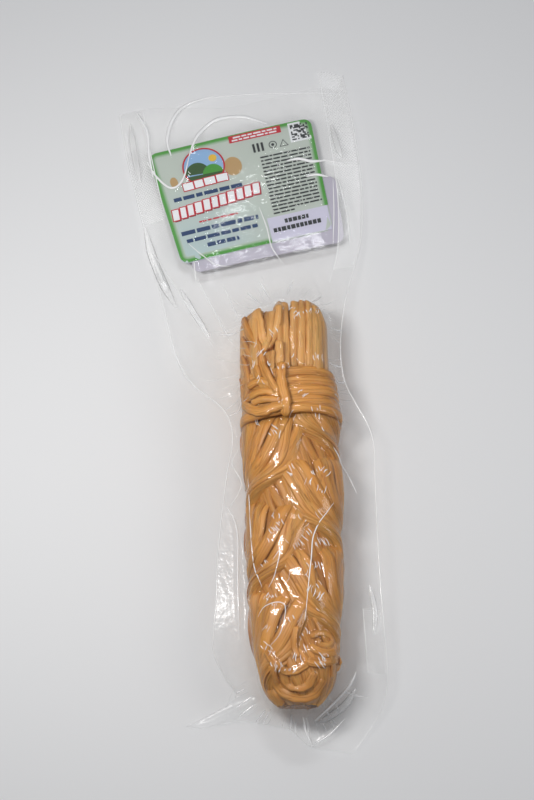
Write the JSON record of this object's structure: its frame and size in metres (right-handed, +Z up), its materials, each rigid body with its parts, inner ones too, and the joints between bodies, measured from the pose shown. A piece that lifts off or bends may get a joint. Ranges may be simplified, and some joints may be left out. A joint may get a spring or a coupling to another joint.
{
  "type": "vacuum-packed smoked braided cheese",
  "caption": "Plait of smoked string cheese with a tied neck, lying in a flat clear vacuum bag with paper labels in its head.",
  "frame": {"origin": "under the middle of the whole pack's box, on the surface that the pack lies on", "axes": "+Z up, towards the shown side; +Y along the plait, towards the label end; +X to the right of the labels"},
  "size_m": [0.1369, 0.3682, 0.0392],
  "materials": {
    "cheese": "smooth smoked rind under film, satin",
    "film": "clear glossy film",
    "plain_paper": "matte",
    "printed_paper": "satin"
  },
  "bodies": {
    "root": {"cheese_plait": "cheese", "vacuum_bag": "film", "back_label": "plain_paper", "front_label": "printed_paper"}
  },
  "joints": []
}
